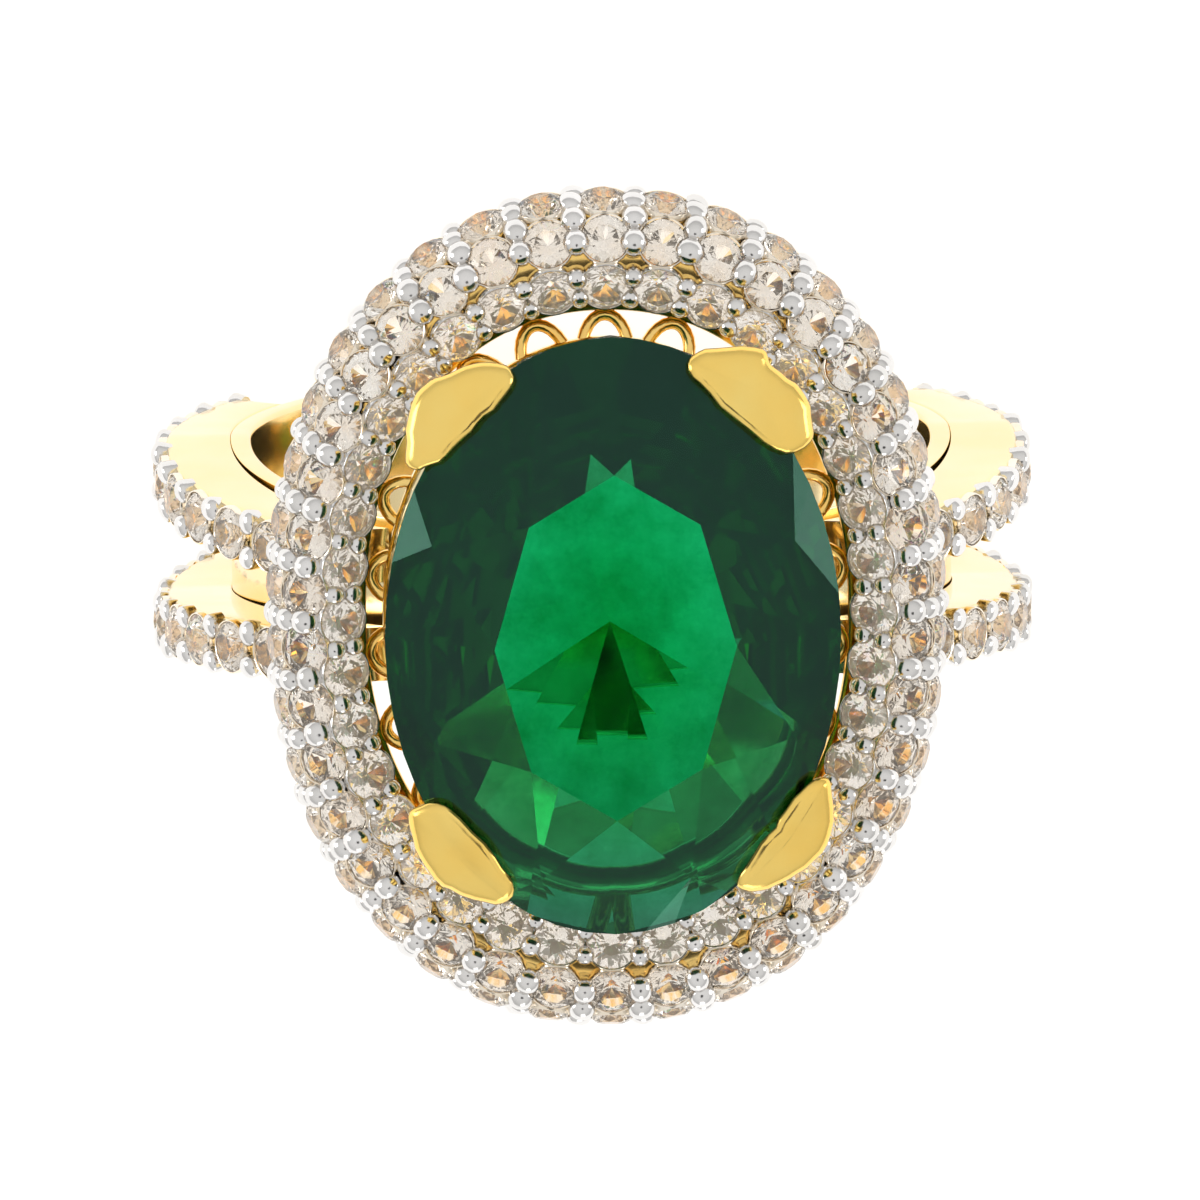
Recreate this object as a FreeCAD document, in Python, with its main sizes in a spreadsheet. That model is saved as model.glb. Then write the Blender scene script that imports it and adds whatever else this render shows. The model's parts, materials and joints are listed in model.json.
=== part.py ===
"""Cocktail ring: oval centre stone in four double claws, domed pave halo, split pave shank.

Frame: the origin is the centre of the finger hole, +Y runs along the finger, +Z up to the stone.
Every size is in millimetres.
"""
import FreeCAD, Part
import math
import os

from FreeCAD import Matrix, Placement, Rotation, Vector

DIMENSIONS = [
    # finger hole and shank
    ("finger_radius", 9.05, "radius of the finger hole, US size 8"),
    ("band_radius", 9.6, "outside of the thin band that lines the finger hole"),
    ("band_opening", 28.0, "half angle left open under the stone, degrees"),
    ("shank_radius", 11.5, "outside radius of the shank arms"),
    ("shank_rise", 0.6, "height of the shank's outer circle above the finger axis"),
    ("shank_bottom_half", 1.5, "half width of the shank at its lowest point"),
    ("shank_crease_half", 2.8, "half width of the shank at its widest level"),
    ("shank_crease_level", -0.5, "level where the side walls start to lean in"),
    ("shank_shoulder_half", 2.7, "half width of the shank where it starts to narrow downward"),
    ("shank_shoulder_level", -6.0, "level where the shank starts to narrow downward"),
    ("shank_top_half", 2.05, "half width of the shank under the halo"),
    ("shank_top_level", 8.95, "level where the arms meet the halo's base rail"),
    ("split_level", -8.4, "level where the two arms part"),
    ("split_half", 1.3, "half width of the space between the arms"),
    ("split_top_half", 0.6, "half width of that space under the halo"),
    ("slit_radius", 11.6, "radius of the arc that frees the arm from the band"),
    ("slit_start", -3.0, "angle where the slit starts, degrees above the finger axis"),
    # halo
    ("halo_squash", 0.81, "width of the oval halo over its length"),
    ("crest_radius", 9.45, "long half axis of the crest of the dome"),
    ("dome_in", 1.45, "reach of the dome from the crest in to the lip"),
    ("dome_out", 1.62, "reach of the dome from the crest out to the rim"),
    ("dome_fall", 1.3, "height of the crest over the lip"),
    ("dome_rise", 1.5, "height of the crest over the widest line"),
    ("dome_level", 9.5, "level of the widest line of the halo"),
    ("shell_thickness", 0.8, "thickness of the halo shell"),
    ("skirt_depth", 0.35, "straight skirt below the widest line"),
    ("base_rail_depth", 0.2, "depth of the rail under the skirt"),
    ("base_rail_width", 2.2, "width of the rail under the skirt"),
    # pave
    ("melee_diameter", 1.3, "diameter of the halo stones"),
    ("arm_melee_diameter", 1.3, "diameter of the shank stones"),
    ("bead_radius", 0.32, "radius of the large setting beads"),
    ("small_bead_radius", 0.23, "radius of the small setting beads"),
    ("arm_bead_radius", 0.26, "radius of the setting beads on the arms"),
    # centre stone
    ("stone_half_width", 6.0, "half width of the centre stone"),
    ("stone_half_length", 8.0, "half length of the centre stone"),
    ("girdle_level", 13.4, "level of the centre stone's girdle"),
    ("girdle_thickness", 0.3, "thickness of the girdle"),
    ("crown_height", 1.6, "height of the crown"),
    ("pavilion_depth", 3.8, "depth of the pavilion"),
    ("table_fraction", 0.56, "table size over girdle size"),
    # basket
    ("wire_radius", 0.35, "radius of the gallery wires"),
    ("gallery_half_width", 5.6, "half width of the upper gallery wire"),
    ("gallery_half_length", 7.05, "half length of the upper gallery wire"),
    ("gallery_lean", 0.3, "how far the lower gallery wire lies inside the upper one"),
    ("arch_half_width", 0.6, "half width of a gallery arch"),
    ("arch_wire_radius", 0.19, "radius of the wire of a gallery arch"),
    ("gallery_top_level", 10.2, "level of the upper gallery wire"),
    ("gallery_low_level", 9.3, "level of the lower gallery wire"),
    ("seat_level", 12.2, "level of the seat wire under the stone"),
    ("post_radius", 0.3, "radius of the gallery posts and seat struts"),
    ("bridge_radius", 0.4, "radius of the posts between the band and the gallery"),
    ("bridge_foot_x", 5.2, "distance of a bridge post's foot from the middle, across the finger"),
    ("bridge_foot_y", 1.55, "distance of a bridge post's foot from the middle, along the finger"),
    ("bridge_foot_level", 7.5, "level of a bridge post's foot"),
    ("claw_wire_radius", 0.52, "radius of one of the two wires of a claw"),
    ("claw_wire_offset", 0.45, "distance of each wire from the middle of its claw"),
    ("claw_foot_inset", 0.9, "how far the claw's foot stands inside the girdle"),
    ("claw_foot_depth", 0.45, "how far the claw's foot reaches below the lower gallery wire's middle"),
    ("claw_lobe_offset", 0.72, "distance of each lobe from the middle of its claw"),
    ("claw_thickness", 0.5, "thickness of the claw tip over the crown"),
]
HALO_STONES = 36
HALO_OUTER_STONES = 38
ARM_STONES = 9
GALLERY_POSTS = 20
GALLERY_ARCHES = 22
CLAW_ANGLE = 47.0
ARM_STONE_STEP = 9.0
ARM_FIRST_STONE = -32.0
STONE_SIDES = 8
CENTRE_SIDES = 32
INNER_ROW_ANGLE = -25.5
MIDDLE_ROW_ANGLE = 25.0
OUTER_ROW_ANGLE = 74.0
INNER_BEAD_ANGLES = (-39.0, -12.0)
CREST_BEAD_ANGLE = 22.0
MIDDLE_BEAD_ANGLE = 47.0
RIM_BEAD_ANGLES = (69.0, 90.0)
SEAT_DEPTH = 0.9
SEAT_RISE = 0.05
ARM_BEAD_OFFSET = 0.42
CLAW_LOBES = ((0.15, 0.85), (0.75, 0.6))
CLAW_SINK = 0.25
OVAL_END_SHARE = 1.02
ARCH_GAP = 0.05
ARCH_LINE = (  # shares of the arch's half width, reach and rise
    (-1.0, 0.0, 0.0),
    (-0.7, 0.5, 0.5),
    (0.0, 0.9, 1.0),
    (0.7, 0.5, 0.5),
    (1.0, 0.0, 0.0),
)

doc = FreeCAD.newDocument("cocktail_ring")
parts = []
sheet = doc.addObject("Spreadsheet::Sheet", "dims")
for row, (alias, number, meaning) in enumerate(DIMENSIONS, start=1):
    sheet.set("A%d" % row, meaning)
    sheet.set("B%d" % row, str(number))
    sheet.setAlias("B%d" % row, alias)
doc.recompute()


def size(alias):
    """A driving dimension, read from the sheet."""
    return float(sheet.get(alias))


def add_part(name, shape):
    """A part whose shape is set by Part's own functions."""
    part = doc.addObject("Part::Feature", name)
    part.Shape = shape
    part.Placement = Placement()
    parts.append(part)
    return part


def cylinder_along_y(name, radius, width, centre_level="0"):
    """A cylinder across the finger hole, centred on Y = 0, with its sizes bound to the sheet."""
    cylinder = doc.addObject("Part::Cylinder", name)
    cylinder.Placement = Placement(Vector(0, 0, 0), Rotation(Vector(1, 0, 0), 90))
    cylinder.setExpression("Radius", radius)
    cylinder.setExpression("Height", width)
    cylinder.setExpression(".Placement.Base.y", "(%s) / 2" % width)
    cylinder.setExpression(".Placement.Base.z", centre_level)
    return cylinder


def polygon_prism(points, direction):
    """A prism from a closed outline, pushed along a direction."""
    outline = Part.makePolygon(points + [points[0]])
    return Part.Face(outline).extrude(direction)


def frame_to(point, normal, along):
    """A placement that puts a local +Z on the normal and a local +X near a direction."""
    z_axis = Vector(normal).normalize()
    x_axis = (Vector(along) - z_axis * z_axis.dot(along)).normalize()
    y_axis = z_axis.cross(x_axis)
    matrix = Matrix(
        x_axis.x, y_axis.x, z_axis.x, point.x,
        x_axis.y, y_axis.y, z_axis.y, point.y,
        x_axis.z, y_axis.z, z_axis.z, point.z,
        0, 0, 0, 1,
    )
    return Placement(matrix)


def solid_from_rings(rings):
    """A closed solid of flat faces through rings of equal point counts; a one-point ring is a tip."""
    faces = []
    for low, high in zip(rings, rings[1:]):
        count = max(len(low), len(high))
        for i in range(count):
            j = (i + 1) % count
            corners = [low[i % len(low)], low[j % len(low)], high[j % len(high)], high[i % len(high)]]
            outline = []
            for corner in corners:
                if not outline or corner.distanceToPoint(outline[-1]) > 1e-6:
                    outline.append(corner)
            if outline[0].distanceToPoint(outline[-1]) < 1e-6:
                outline.pop()
            faces.append(Part.Face(Part.makePolygon(outline + [outline[0]])))
    for ring in (rings[0], rings[-1]):
        if len(ring) > 2:
            faces.append(Part.Face(Part.makePolygon(ring + [ring[0]])))
    shell = Part.makeShell(faces)
    solid = Part.makeSolid(shell)
    if solid.Volume < 0:
        solid.reverse()
    return solid


def oval_ring(half_width, half_length, level, sides, turn=0.0):
    """Points of a level oval, evenly spaced by angle."""
    ring = []
    for i in range(sides):
        angle = 2 * math.pi * (i + turn) / sides
        ring.append(Vector(half_width * math.cos(angle), half_length * math.sin(angle), level))
    return ring


def melee(diameter):
    """A small round brilliant with its girdle on Z = 0 and its table up."""
    radius = diameter / 2
    girdle = 0.03 * diameter
    rings = [
        [Vector(0, 0, -0.43 * diameter)],
        oval_ring(radius, radius, -girdle, STONE_SIDES),
        oval_ring(radius, radius, 0, STONE_SIDES),
        oval_ring(0.56 * radius, 0.56 * radius, 0.15 * diameter, STONE_SIDES),
    ]
    return solid_from_rings(rings)


def seat(diameter):
    """The tapered seat that a small brilliant sits in, pierced through the metal."""
    height = SEAT_DEPTH + SEAT_RISE
    return Part.makeCone(0.2 * diameter, 0.56 * diameter, height, Vector(0, 0, -SEAT_DEPTH))


def bead(radius):
    """A setting bead: half a ball with its flat side on Z = 0."""
    return Part.makeSphere(radius, Vector(0, 0, 0), Vector(0, 0, 1), 0, 90, 360)


def even_angles(half_width, half_length, count, shift):
    """Angles that space points evenly along an oval."""
    steps = 1440
    lengths = [0.0]
    previous = Vector(half_width, 0, 0)
    for i in range(1, steps + 1):
        angle = 2 * math.pi * i / steps
        here = Vector(half_width * math.cos(angle), half_length * math.sin(angle), 0)
        lengths.append(lengths[-1] + here.distanceToPoint(previous))
        previous = here
    angles = []
    index = 0
    for k in range(count):
        wanted = lengths[-1] * ((k + shift) % count) / count
        index = 0 if wanted < lengths[index] else index
        while lengths[index + 1] < wanted:
            index += 1
        part = (wanted - lengths[index]) / (lengths[index + 1] - lengths[index])
        angles.append(2 * math.pi * (index + part) / steps)
    return angles


def halo_place(angle, dome_angle):
    """A placement on the dome: dome_angle is negative inside the crest and 90 at the rim."""
    tilt = math.radians(dome_angle)
    reach = size("dome_out") if tilt > 0 else size("dome_in")
    drop = size("dome_rise") if tilt > 0 else size("dome_fall")
    squash = size("halo_squash")
    radius = size("crest_radius") + reach * math.sin(tilt)
    level = size("dome_level") + size("dome_rise") - drop * (1 - math.cos(tilt))
    normal_out = math.sin(tilt) / reach
    normal_up = math.cos(tilt) / drop
    point = Vector(squash * radius * math.cos(angle), radius * math.sin(angle), level)
    normal = Vector(normal_out * math.cos(angle) / squash, normal_out * math.sin(angle), normal_up)
    along = Vector(-squash * math.sin(angle), math.cos(angle), 0)
    return frame_to(point, normal, along)


def placed(shape, places):
    """Copies of one shape at many places."""
    copies = []
    for place in places:
        copy = shape.copy()
        copy.Placement = place
        copies.append(copy)
    return copies


def trimmed(beads, stones):
    """Beads cut back where they lie over the stones that they hold."""
    kept = []
    for one in beads:
        near = [stone for stone in stones if one.BoundBox.intersect(stone.BoundBox)]
        kept.append(one.cut(near) if near else one)
    solids = []
    for one in kept:
        solids.append(max(one.Solids, key=lambda solid: solid.Volume))
    return solids


# ---- shank -------------------------------------------------------------------------------------

def shank_outline():
    """The shank seen along X, north half: widest at the crease and leaning in above and below."""
    bottom = size("shank_rise") - size("shank_radius") - 1
    top = size("shank_top_level")
    points = [
        Vector(0, 0, bottom),
        Vector(0, size("shank_bottom_half"), bottom),
        Vector(0, size("shank_bottom_half"), size("split_level") - 1.5),
        Vector(0, size("shank_shoulder_half"), size("shank_shoulder_level")),
        Vector(0, size("shank_crease_half"), size("shank_crease_level")),
        Vector(0, size("shank_top_half"), top),
        Vector(0, 0, top),
    ]
    return points


def shank_width_prism():
    """Both halves of the outline, pushed along X through the whole ring."""
    reach = 3 * size("shank_radius")
    north = []
    for point in shank_outline():
        north.append(point + Vector(-reach / 2, 0, 0))
    half = polygon_prism(north, Vector(reach, 0, 0))
    other = half.mirror(Vector(0, 0, 0), Vector(0, 1, 0))
    return half.fuse(other).removeSplitter()


def split_prism():
    """The space between the two arms of each shoulder."""
    reach = 3 * size("shank_radius")
    wide = size("split_half")
    narrow = size("split_top_half")
    low = size("split_level")
    top = size("shank_top_level") + 1
    x_start = -reach / 2
    points = [
        Vector(x_start, -0.5 * wide, low),
        Vector(x_start, 0.5 * wide, low),
        Vector(x_start, wide, low + 2),
        Vector(x_start, wide, size("shank_crease_level")),
        Vector(x_start, narrow, top),
        Vector(x_start, -narrow, top),
        Vector(x_start, -wide, size("shank_crease_level")),
        Vector(x_start, -wide, low + 2),
    ]
    return polygon_prism(points, Vector(reach, 0, 0))


def slit_tools():
    """One disc on each side, tangent to the band where the slit starts and leaving it above."""
    start = math.radians(size("slit_start"))
    radius = size("slit_radius")
    offset = radius - size("band_radius")
    width = 4 * size("shank_crease_half")
    tangent_level = size("band_radius") * math.sin(start)
    upper = Part.makeBox(4 * radius, width, 2 * radius, Vector(-2 * radius, -width / 2, tangent_level))
    tools = []
    for side in (1, -1):
        centre = Vector(-side * offset * math.cos(start), width / 2, -offset * math.sin(start))
        disc = Part.makeCylinder(radius, width, centre, Vector(0, -1, 0))
        half = Part.makeBox(2 * radius, width, 4 * radius, Vector(0, -width / 2, -2 * radius))
        if side < 0:
            half = half.mirror(Vector(0, 0, 0), Vector(1, 0, 0))
        tools.append(disc.common(upper).common(half))
    return tools


outer_disc = cylinder_along_y("shank_outer_disc", "dims.shank_radius", "2 * dims.shank_crease_half",
                              "dims.shank_rise")
band_disc = cylinder_along_y("band_disc", "dims.band_radius", "2 * dims.shank_crease_half")
bore_disc = cylinder_along_y("bore_disc", "dims.finger_radius", "3 * dims.shank_crease_half")
shank_ring = doc.addObject("Part::Cut", "shank_ring")
shank_ring.Base = outer_disc
shank_ring.Tool = band_disc
band_ring = doc.addObject("Part::Cut", "band_ring")
band_ring.Base = band_disc
band_ring.Tool = bore_disc
doc.recompute()

width_prism = shank_width_prism()


def finger_band():
    """The thin band against the finger, open under the stone for its point."""
    opening = math.radians(size("band_opening"))
    reach = 3 * size("shank_radius")
    width = 4 * size("shank_crease_half")
    wedge = polygon_prism(
        [
            Vector(0, -width / 2, 0),
            Vector(reach * math.tan(opening), -width / 2, reach),
            Vector(-reach * math.tan(opening), -width / 2, reach),
        ],
        Vector(0, width, 0),
    )
    return band_ring.Shape.common(width_prism).cut(wedge)


add_part("finger_band", finger_band())

shoulders = shank_ring.Shape.common(width_prism).cut(slit_tools() + [split_prism()])


def arm_stone_places(side_x, side_y):
    """Places of the stones of one arm, on its outer face, table outward."""
    places = []
    crease = size("shank_crease_level")
    top = size("shank_top_level")
    wide = (size("shank_crease_half") + size("split_half")) / 2
    narrow = (size("shank_top_half") + size("split_top_half")) / 2
    for k in range(ARM_STONES):
        angle = math.radians(ARM_FIRST_STONE + ARM_STONE_STEP * k)
        radius = size("shank_radius")
        level = size("shank_rise") + radius * math.sin(angle)
        share = max(0.0, (level - crease) / (top - crease))
        centre_y = wide + (narrow - wide) * share
        point = Vector(side_x * radius * math.cos(angle), side_y * centre_y, level)
        normal = Vector(side_x * math.cos(angle), 0, math.sin(angle))
        along = Vector(-side_x * math.sin(angle), 0, math.cos(angle))
        places.append(frame_to(point, normal, along))
    return places


def arm_bead_places(side_x, side_y):
    """Two beads side by side in each gap between the stones of an arm."""
    places = []
    stones = arm_stone_places(side_x, side_y)
    for first, second in zip(stones, stones[1:]):
        middle = (first.Base + second.Base) / 2
        radial = Vector(middle.x, 0, middle.z - size("shank_rise")).normalize()
        level = Vector(0, middle.y, size("shank_rise"))
        surface = level + radial * size("shank_radius")
        for sideways in (-1, 1):
            point = surface + Vector(0, sideways * ARM_BEAD_OFFSET, 0)
            places.append(frame_to(point, radial, Vector(0, 1, 0)))
    return places


ARM_NAMES = {(1, 1): "north_east", (-1, 1): "north_west", (1, -1): "south_east", (-1, -1): "south_west"}
arm_stone = melee(size("arm_melee_diameter"))
arm_seat = seat(size("arm_melee_diameter"))
reach = size("shank_radius") + 1
north_west = Part.makeBox(reach, reach, 2 * reach, Vector(-reach, 0, size("split_level")))
seats = placed(arm_seat, arm_stone_places(-1, 1))
north_west_arm = shoulders.common(north_west).cut(seats)
north_west_arm = max(north_west_arm.Solids, key=lambda solid: solid.Volume)
for (side_x, side_y), corner in ARM_NAMES.items():
    arm = north_west_arm
    if side_x > 0:
        arm = arm.mirror(Vector(0, 0, 0), Vector(1, 0, 0))
    if side_y < 0:
        arm = arm.mirror(Vector(0, 0, 0), Vector(0, 1, 0))
    stones = placed(arm_stone, arm_stone_places(side_x, side_y))
    beads = placed(bead(size("arm_bead_radius")), arm_bead_places(side_x, side_y))
    add_part("shank_arm_" + corner, arm)
    add_part("arm_stones_" + corner, Part.makeCompound(stones))
    add_part("arm_beads_" + corner, Part.makeCompound(trimmed(beads, stones)))

half_space = 4 * size("shank_radius")
below = Part.makeBox(half_space, half_space, half_space,
                     Vector(-half_space / 2, -half_space / 2, size("split_level") - half_space))
add_part("shank_base", shoulders.common(below))

# ---- halo --------------------------------------------------------------------------------------

def oval_solid(profile):
    """A closed profile in the XZ plane, turned about Z and narrowed along X to make it oval."""
    turned = Part.Face(profile).revolve(Vector(0, 0, 0), Vector(0, 0, 1), 360)
    narrowing = Matrix()
    narrowing.scale(size("halo_squash"), 1, 1)
    solid = turned.transformGeometry(narrowing)
    return solid.Solids[0] if solid.Solids else Part.makeSolid(solid)


def dome_arc(reach, drop, crest_level):
    """A quarter of an oval in the XZ plane, from the crest down; reach is negative on the inside."""
    centre = Vector(size("crest_radius"), 0, crest_level - drop)
    top = centre + Vector(0, 0, drop)
    end = centre + Vector(reach, 0, 0)
    if abs(reach) >= drop:
        curve = Part.Ellipse(end, top, centre)
    else:
        curve = Part.Ellipse(top, end, centre)
    low, high = sorted((curve.parameter(top), curve.parameter(end)))
    if high - low > math.pi:
        low, high = high, low + 2 * math.pi
    return Part.Arc(curve, low, high).toShape()


def halo_profile():
    """Section of the halo shell: a dome from the inner lip to the rim, with a straight skirt."""
    crest = size("crest_radius")
    level = size("dome_level")
    top = level + size("dome_rise")
    lip_level = top - size("dome_fall")
    thick = size("shell_thickness")
    lip = crest - size("dome_in")
    rim = crest + size("dome_out")
    skirt = level - size("skirt_depth")
    corners = [
        (Vector(lip, 0, lip_level), Vector(lip + thick, 0, lip_level)),
        (Vector(rim, 0, level), Vector(rim, 0, skirt)),
        (Vector(rim, 0, skirt), Vector(rim - thick, 0, skirt)),
        (Vector(rim - thick, 0, skirt), Vector(rim - thick, 0, level)),
    ]
    edges = [Part.LineSegment(start, end).toShape() for start, end in corners]
    edges.append(dome_arc(-size("dome_in"), size("dome_fall"), top))
    edges.append(dome_arc(size("dome_out"), size("dome_rise"), top))
    edges.append(dome_arc(thick - size("dome_in"), size("dome_fall") - thick, top - thick))
    edges.append(dome_arc(size("dome_out") - thick, size("dome_rise") - thick, top - thick))
    return Part.Wire(Part.__sortEdges__(edges))


def oval_path(name, half_width, half_length, level):
    """A level oval with its long axis on Y and its sizes bound to the sheet."""
    path = doc.addObject("Part::Ellipse", name)
    path.Placement = Placement(Vector(0, 0, 0), Rotation(Vector(0, 0, 1), 90))
    path.setExpression("MajorRadius", half_length)
    path.setExpression("MinorRadius", half_width)
    path.setExpression(".Placement.Base.z", level)
    return path


def oval_block(name, half_width, half_length, level, height):
    """A solid oval plate, bound to the sheet."""
    plate = doc.addObject("Part::Extrusion", name)
    plate.Base = oval_path(name + "_outline", half_width, half_length, level)
    plate.Solid = True
    plate.DirMode = "Custom"
    plate.Dir = Vector(0, 0, 1)
    plate.setExpression("LengthFwd", height)
    return plate


def arc_about(x, y, radius, start, end, level):
    """An arc on one level, from its centre, radius and two angles."""
    points = []
    for angle in (start, (start + end) / 2, end):
        points.append(Vector(x + radius * math.cos(angle), y + radius * math.sin(angle), level))
    return Part.Arc(*points).toShape()


def oval_tube(half_width, half_length, level, radius):
    """A round wire bent to an oval of four tangent arcs."""
    end_radius = OVAL_END_SHARE * half_width ** 2 / half_length
    end_centre = half_length - end_radius
    spare = half_width ** 2 + end_centre ** 2 - end_radius ** 2
    side_radius = spare / (2 * (half_width - end_radius))
    side_centre = side_radius - half_width
    turn = math.atan2(end_centre, side_centre)
    edges = [
        arc_about(-side_centre, 0, side_radius, -turn, turn, level),
        arc_about(0, end_centre, end_radius, turn, math.pi - turn, level),
        arc_about(side_centre, 0, side_radius, math.pi - turn, math.pi + turn, level),
        arc_about(0, -end_centre, end_radius, math.pi + turn, 2 * math.pi - turn, level),
    ]
    start = edges[0].valueAt(edges[0].FirstParameter)
    direction = edges[0].tangentAt(edges[0].FirstParameter)
    profile = Part.Wire([Part.Circle(start, direction, radius).toShape()])
    return Part.Wire(edges).makePipeShell([profile], True, True)


squash = size("halo_squash")


def halo_angles(dome_angle, count, shift):
    """Angles that space one row of the halo evenly."""
    reach = size("dome_out") if dome_angle > 0 else size("dome_in")
    radius = size("crest_radius") + reach * math.sin(math.radians(dome_angle))
    return even_angles(squash * radius, radius, count, shift)


inner_gaps = halo_angles(INNER_ROW_ANGLE, HALO_STONES, 0.5)
outer_angles = halo_angles(45.0, HALO_OUTER_STONES, 0.5)
outer_gaps = halo_angles(45.0, HALO_OUTER_STONES, 0.0)
inner_places = [halo_place(a, INNER_ROW_ANGLE) for a in halo_angles(INNER_ROW_ANGLE, HALO_STONES, 0.0)]
middle_places = [halo_place(angle, MIDDLE_ROW_ANGLE) for angle in outer_angles]
outer_places = [halo_place(angle, OUTER_ROW_ANGLE) for angle in outer_angles]
halo_stone = melee(size("melee_diameter"))
halo_seats = placed(seat(size("melee_diameter")), inner_places + middle_places + outer_places)
shell = oval_solid(halo_profile()).cut(halo_seats)
add_part("halo_shell", max(shell.Solids, key=lambda solid: solid.Volume))

RAIL_LEVEL = "dims.dome_level - dims.skirt_depth - dims.base_rail_depth"
RAIL_LENGTH = "dims.crest_radius + dims.dome_out"
RAIL_INSIDE = "dims.crest_radius + dims.dome_out - dims.base_rail_width"
base_rail = doc.addObject("Part::Cut", "halo_base_rail")
base_rail.Base = oval_block("base_rail_plate", "dims.halo_squash * (%s)" % RAIL_LENGTH, RAIL_LENGTH,
                            RAIL_LEVEL, "dims.base_rail_depth")
parts.append(base_rail)
base_rail.Tool = oval_block("base_rail_opening", "dims.halo_squash * (%s)" % RAIL_INSIDE, RAIL_INSIDE,
                            RAIL_LEVEL, "dims.base_rail_depth")

halo_stones = {
    "halo_inner_stones": placed(halo_stone, inner_places),
    "halo_middle_stones": placed(halo_stone, middle_places),
    "halo_outer_stones": placed(halo_stone, outer_places),
}
every_stone = []
for name, stones in halo_stones.items():
    add_part(name, Part.makeCompound(stones))
    every_stone += stones

large_bead = bead(size("bead_radius"))
small_bead = bead(size("small_bead_radius"))
bead_rows = {
    "halo_inner_beads": (small_bead, inner_gaps, INNER_BEAD_ANGLES),
    "halo_crest_beads": (large_bead, outer_gaps, [CREST_BEAD_ANGLE]),
    "halo_middle_beads": (large_bead, outer_gaps, [MIDDLE_BEAD_ANGLE]),
    "halo_rim_beads": (large_bead, outer_gaps, RIM_BEAD_ANGLES),
}
for name, (one_bead, gaps, dome_angles) in bead_rows.items():
    beads = placed(one_bead, [halo_place(gap, dome_angle) for gap in gaps for dome_angle in dome_angles])
    add_part(name, Part.makeCompound(trimmed(beads, every_stone)))

# ---- gallery, seat, claws and centre stone -------------------------------------------------------

def rod(start, end, radius):
    """A round rod between two points."""
    return Part.makeCylinder(radius, (end - start).Length, start, end - start)


def centre_stone():
    """The oval brilliant: pavilion, girdle and crown of flat facets."""
    half_width = size("stone_half_width")
    half_length = size("stone_half_length")
    girdle_low = size("girdle_level") - size("girdle_thickness") / 2
    girdle_high = size("girdle_level") + size("girdle_thickness") / 2
    table = size("table_fraction")
    rings = [
        [Vector(0, 0, girdle_low - size("pavilion_depth"))],
        oval_ring(half_width, half_length, girdle_low, CENTRE_SIDES, 0.5),
        oval_ring(half_width, half_length, girdle_high, CENTRE_SIDES, 0.5),
        oval_ring(table * half_width, table * half_length, girdle_high + size("crown_height"),
                  CENTRE_SIDES, 0.5),
    ]
    return solid_from_rings(rings)


stone = centre_stone()
add_part("centre_stone", stone)

seat_drop = size("girdle_level") - size("girdle_thickness") / 2 - size("seat_level")
seat_share = 1 - seat_drop / size("pavilion_depth")
wire = size("wire_radius")
RAILS = {  # half width, half length and level of each wire's middle line
    "gallery_upper_rail": (size("gallery_half_width"), size("gallery_half_length"), size("gallery_top_level")),
    "gallery_lower_rail": (size("gallery_half_width") - size("gallery_lean"),
                           size("gallery_half_length") - size("gallery_lean"), size("gallery_low_level")),
    "seat_rail": (size("stone_half_width") * seat_share + 0.75 * wire,
                  size("stone_half_length") * seat_share + 0.75 * wire, size("seat_level") - wire),
}
gallery_top = oval_tube(*RAILS["gallery_upper_rail"], wire)
gallery_low = oval_tube(*RAILS["gallery_lower_rail"], wire)
seat_wire = oval_tube(*RAILS["seat_rail"], wire)


def rail_point(rail, angle):
    """A point on the middle line of one of the oval wires."""
    half_width, half_length, level = RAILS[rail]
    return Vector(half_width * math.cos(angle), half_length * math.sin(angle), level)


def rail_angles(rail, count):
    """Angles that space things evenly along one of the oval wires, half a step from the side."""
    half_width, half_length, level = RAILS[rail]
    return even_angles(half_width, half_length, count, 0.5)


def claw(angle):
    """Two round wires side by side, flattened together over the crown in a two-lobed tip."""
    half_width = size("stone_half_width")
    half_length = size("stone_half_length")
    rim = Vector(half_width * math.cos(angle), half_length * math.sin(angle), 0)
    outward = Vector(math.cos(angle) / half_width, math.sin(angle) / half_length, 0).normalize()
    along = Vector(-outward.y, outward.x, 0)
    radius = size("claw_wire_radius")
    foot_level = size("gallery_low_level") - size("claw_foot_depth")
    tip_level = size("girdle_level") + 0.75
    pieces = []
    inset = size("claw_foot_inset")
    for side in (-1, 1):
        sideways = side * size("claw_wire_offset")
        foot = rim - outward * inset + along * sideways + Vector(0, 0, foot_level)
        shoulder = rim + outward * 0.4 + along * sideways + Vector(0, 0, size("girdle_level") - 0.2)
        tip = rim + outward * 0.35 + along * sideways + Vector(0, 0, tip_level)
        pieces += [rod(foot, shoulder, radius), rod(shoulder, tip, radius)]
        pieces.append(Part.makeSphere(radius, shoulder))
    slope = math.atan2(size("crown_height"), (1 - size("table_fraction")) * rim.Length)
    flat = outward * -math.cos(slope) + Vector(0, 0, math.sin(slope))
    up = outward * math.sin(slope) + Vector(0, 0, math.cos(slope))
    edge = rim + Vector(0, 0, size("girdle_level") + size("girdle_thickness") / 2)
    for side in (-1, 1):
        sideways = side * size("claw_lobe_offset")
        for inward, lobe_radius in CLAW_LOBES:
            base = edge + flat * inward + along * sideways - up * CLAW_SINK
            pieces.append(Part.makeCylinder(lobe_radius, size("claw_thickness") + CLAW_SINK, base, up))
    body = pieces[0].fuse(pieces[1:])
    return body.cut(stone)


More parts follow.
